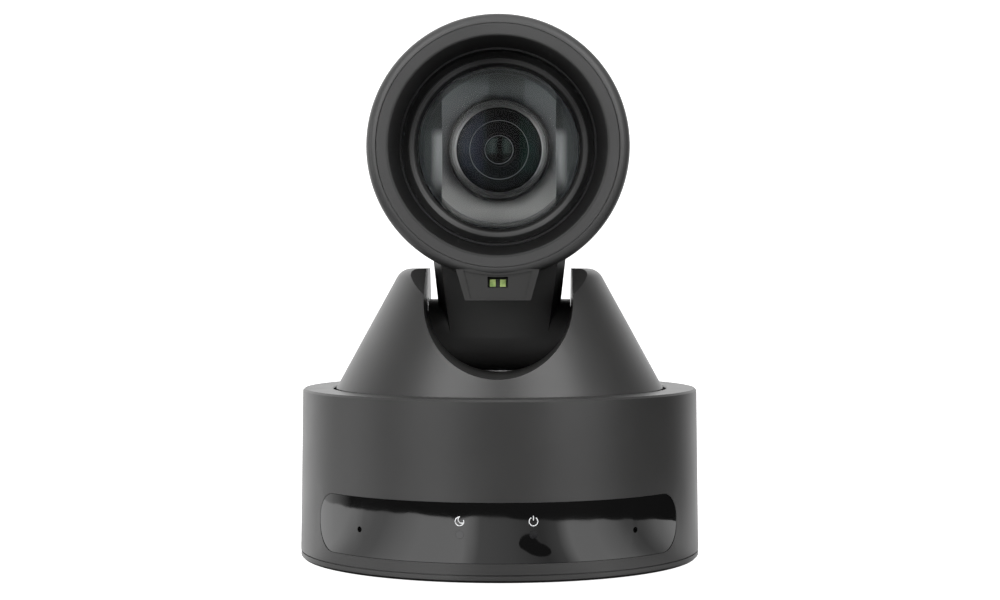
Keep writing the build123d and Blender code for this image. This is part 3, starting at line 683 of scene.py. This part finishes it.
def printed_icons():
    """Plain pictograms over the two lights: a crescent for standby, the broken circle for power."""
    reach = WINDOW_R * math.radians(LIGHT_ANGLE)
    hollow = [(x + 0.5 * ICON_R, z + 0.4 * ICON_R) for x, z in arc(0.82 * ICON_R, 10, -230)]
    crescent = arc(ICON_R, 75, 325, 20) + hollow[3:-2]
    icon_strokes("standby_icon", [crescent], -reach, ICON_Z, ICON_LINE)
    power = [arc(ICON_R, 35, 325, 20), [(0, ICON_R * 0.3), (0, ICON_R * 1.25)]]
    icon_strokes("power_icon", power, reach, ICON_Z, ICON_LINE)


# --- studio -----------------------------------------------------------------------------------------
def stage_plane(name, size, location, rotation, material):
    bpy.ops.mesh.primitive_plane_add(size=1, location=location, rotation=rotation)
    obj = bpy.context.object
    obj.name = name
    obj.scale = (size[0], size[1], 1)
    obj.data.materials.append(material)
    return obj


def flat_material(name, value, rough=0.6):
    n = Nodes(name)
    n.colour(n.noise(3, 2), tone(value * 0.99), tone(value))
    n.set(Roughness=rough)
    return n.material


def seen_only_in_gloss(obj):
    obj.visible_camera = obj.visible_diffuse = obj.visible_shadow = False


TABLE_INNER_R, TABLE_Z = 0.074, 0.0008
SPOT_X, SPOT_Y, SPOT_Z = 0.0405, -0.150, 0.0014
SPOT_HALF_X, SPOT_HALF_Y = 0.0150, 0.032
LIGHT_DISTANCE, LIGHT_AIM = 1.2, Vector((0, 0, 0.1))
# Name, azimuth to the viewer's right and elevation in degrees, width and height in metres, and watts.
LIGHTS = (
    ("left_softbox", -37, 30, 0.78, 1.30, 15.0),
    ("right_softbox", 43, 30, 0.78, 1.30, 15.0),
    ("left_fill", -84, 4, 0.60, 0.55, 2.0),
    ("top_softbox", 10, 86, 0.90, 0.60, 2.0))


def front_table():
    """A card seen only in reflection, painted as the table in front for the gloss window: pale, darker in
    places, with a dark edge.

    It is a flat ring on the floor. Its brightness goes by the angle round the camera from its front.
    """
    n = Nodes("front_table")
    n.set(Base_Color=(0, 0, 0, 1), Specular_IOR_Level=0.0, Emission_Strength=1.4)
    split = n.tree.nodes.new("ShaderNodeSeparateXYZ")
    n.link(n.coords, split.inputs[0])
    forward = n.math("MULTIPLY", split.outputs["Y"], -1.0)
    turn = n.math("ARCTAN2", split.outputs["X"], forward)
    shade = n.bands(n.math("MULTIPLY", turn, math.degrees(1)), TABLE_REFLECTION_SHADES)
    n.link(shade, n.shader.inputs["Emission Color"])
    angles = list(range(-128, 129, 4))
    bm = bmesh.new()
    near = [bm.verts.new(polar(TABLE_INNER_R, a) + (TABLE_Z,)) for a in angles]
    far = [bm.verts.new(polar(table_edge(a), a) + (TABLE_Z,)) for a in angles]
    for k in range(len(angles) - 1):
        bm.faces.new((near[k], far[k], far[k + 1], near[k + 1]))
    table = bpy.data.objects.new("front_table", mesh_from(bm, "front_table"))
    bpy.context.scene.collection.objects.link(table)
    table.data.materials.append(n.material)
    seen_only_in_gloss(table)


def table_edge(angle):
    """How far out the pale table reaches in the painted reflection: less to the right, a little more to
    the left, its edge wavy.
    """
    reach = 0.243 + 0.004 * math.sin(math.radians(5 * angle)) + 0.002 * math.sin(math.radians(23 * angle))
    reach -= 0.018 * min(1, max(0, angle + 10) / 45)
    reach -= 0.055 * min(1, max(0, angle - 62) / 38)
    return reach + 0.008 * min(1, max(0, -50 - angle) / 15)


# Brightness of the table's painted reflection by angle from the front, in degrees, positive to the
# viewer's right.
TABLE_REFLECTION_SHADES = [
    (-128.0, 1.0), (-80.0, 1.0), (-74.0, 0.85), (-68.0, 0.64), (-62.0, 0.52), (-56.0, 0.52), (-50.0, 0.66),
    (-45.0, 0.78), (-36.0, 0.97), (-14.0, 1.0), (-8.0, 0.42), (6.0, 0.32), (20.0, 0.16), (27.0, 0.30),
    (33.0, 0.92), (46.0, 0.88), (57.0, 0.62), (64.0, 0.36), (70.0, 0.26), (76.0, 0.38), (82.0, 0.55),
    (92.0, 0.72), (128.0, 0.85)]


def dark_spot():
    """A black card seen only in gloss: a painted dark patch in the window's reflection, under the right
    light.
    """
    mesh = bpy.data.meshes.new("dark_spot")
    points = [
        (SPOT_X + SPOT_HALF_X * math.cos(a) + 0.001 * math.sin(3 * a),
         SPOT_Y + SPOT_HALF_Y * math.sin(a), SPOT_Z)
        for a in (2 * math.pi * k / 24 for k in range(24))]
    mesh.from_pydata(points, [], [tuple(range(24))])
    spot = bpy.data.objects.new("dark_spot", mesh)
    bpy.context.scene.collection.objects.link(spot)
    black = flat_material("dark_spot", 0.0, 0.9)
    black.node_tree.nodes["Principled BSDF"].inputs["Specular IOR Level"].default_value = 0.0
    spot.data.materials.append(black)
    seen_only_in_gloss(spot)


def polar(radius, angle):
    """A floor point at an angle from the front, in degrees, positive to the viewer's right."""
    return radius * math.sin(math.radians(angle)), -radius * math.cos(math.radians(angle))


def studio():
    pale = flat_material("floor_white", 0.90)
    shader = pale.node_tree.nodes["Principled BSDF"]
    shader.inputs["Emission Color"].default_value = (1, 1, 1, 1)
    shader.inputs["Emission Strength"].default_value = 1.0
    shader.inputs["Specular IOR Level"].default_value = 0.0
    floor = stage_plane("floor", (6, 6), (0, 0.6, 0), (0, 0, 0), pale)
    floor.visible_diffuse = floor.visible_glossy = False
    front_table()
    dark_spot()
    for name, azimuth, elevation, w, h, power in LIGHTS:
        data = bpy.data.lights.new(name, "AREA")
        data.shape = "RECTANGLE"
        data.size, data.size_y = w, h
        data.energy = power
        light = bpy.data.objects.new(name, data)
        tilt = math.radians(elevation)
        x, y = polar(LIGHT_DISTANCE * math.cos(tilt), azimuth)
        light.location = (x, y, LIGHT_AIM.z + LIGHT_DISTANCE * math.sin(tilt))
        light.rotation_euler = (LIGHT_AIM - light.location).to_track_quat("-Z", "Y").to_euler()
        bpy.context.scene.collection.objects.link(light)


def world():
    """White surroundings behind and to the left, and dark in front, so that gloss keeps its shape."""
    scene = bpy.context.scene
    scene.world = bpy.data.worlds.new("studio_world")
    scene.world.use_nodes = True
    tree = scene.world.node_tree
    background = tree.nodes["Background"]
    coords = tree.nodes.new("ShaderNodeTexCoord")
    toward = tree.nodes.new("ShaderNodeVectorMath")
    toward.operation = "DOT_PRODUCT"
    toward.inputs[1].default_value = (-0.24, 0.97, 0)
    tree.links.new(coords.outputs["Generated"], toward.inputs[0])
    behind = tree.nodes.new("ShaderNodeMapRange")
    for name, value in (("From Min", 0.28), ("From Max", 0.85), ("To Min", 0.01), ("To Max", 1.5)):
        behind.inputs[name].default_value = value
    tree.links.new(toward.outputs["Value"], behind.inputs["Value"])
    split = tree.nodes.new("ShaderNodeSeparateXYZ")
    tree.links.new(coords.outputs["Generated"], split.inputs[0])
    above = tree.nodes.new("ShaderNodeMapRange")
    for name, value in (("From Min", -0.45), ("From Max", -0.2)):
        above.inputs[name].default_value = value
    tree.links.new(split.outputs["Z"], above.inputs["Value"])
    lit = tree.nodes.new("ShaderNodeMath")
    lit.operation = "MULTIPLY"
    tree.links.new(behind.outputs["Result"], lit.inputs[0])
    tree.links.new(above.outputs["Result"], lit.inputs[1])
    path = tree.nodes.new("ShaderNodeLightPath")
    seen = tree.nodes.new("ShaderNodeMath")
    seen.operation = "MAXIMUM"
    tree.links.new(path.outputs["Is Camera Ray"], seen.inputs[0])
    tree.links.new(lit.outputs[0], seen.inputs[1])
    tree.links.new(seen.outputs[0], background.inputs["Strength"])
    background.inputs["Color"].default_value = (1, 1, 1, 1)


def camera():
    data = bpy.data.cameras.new("view_camera")
    data.lens = FOCAL_MM
    data.sensor_width = SENSOR_MM
    obj = bpy.data.objects.new("view_camera", data)
    obj.location = EYE
    obj.rotation_euler = (AIM - EYE).to_track_quat("-Z", "Y").to_euler()
    bpy.context.scene.collection.objects.link(obj)
    bpy.context.scene.camera = obj


dress_cad_nodes()
lens_stack()
socket_contacts()
rear_screws()
rear_gasket()
printed_icons()
studio()
world()
camera()
bpy.context.scene.view_settings.view_transform = "Standard"

bpy.context.view_layer.update()
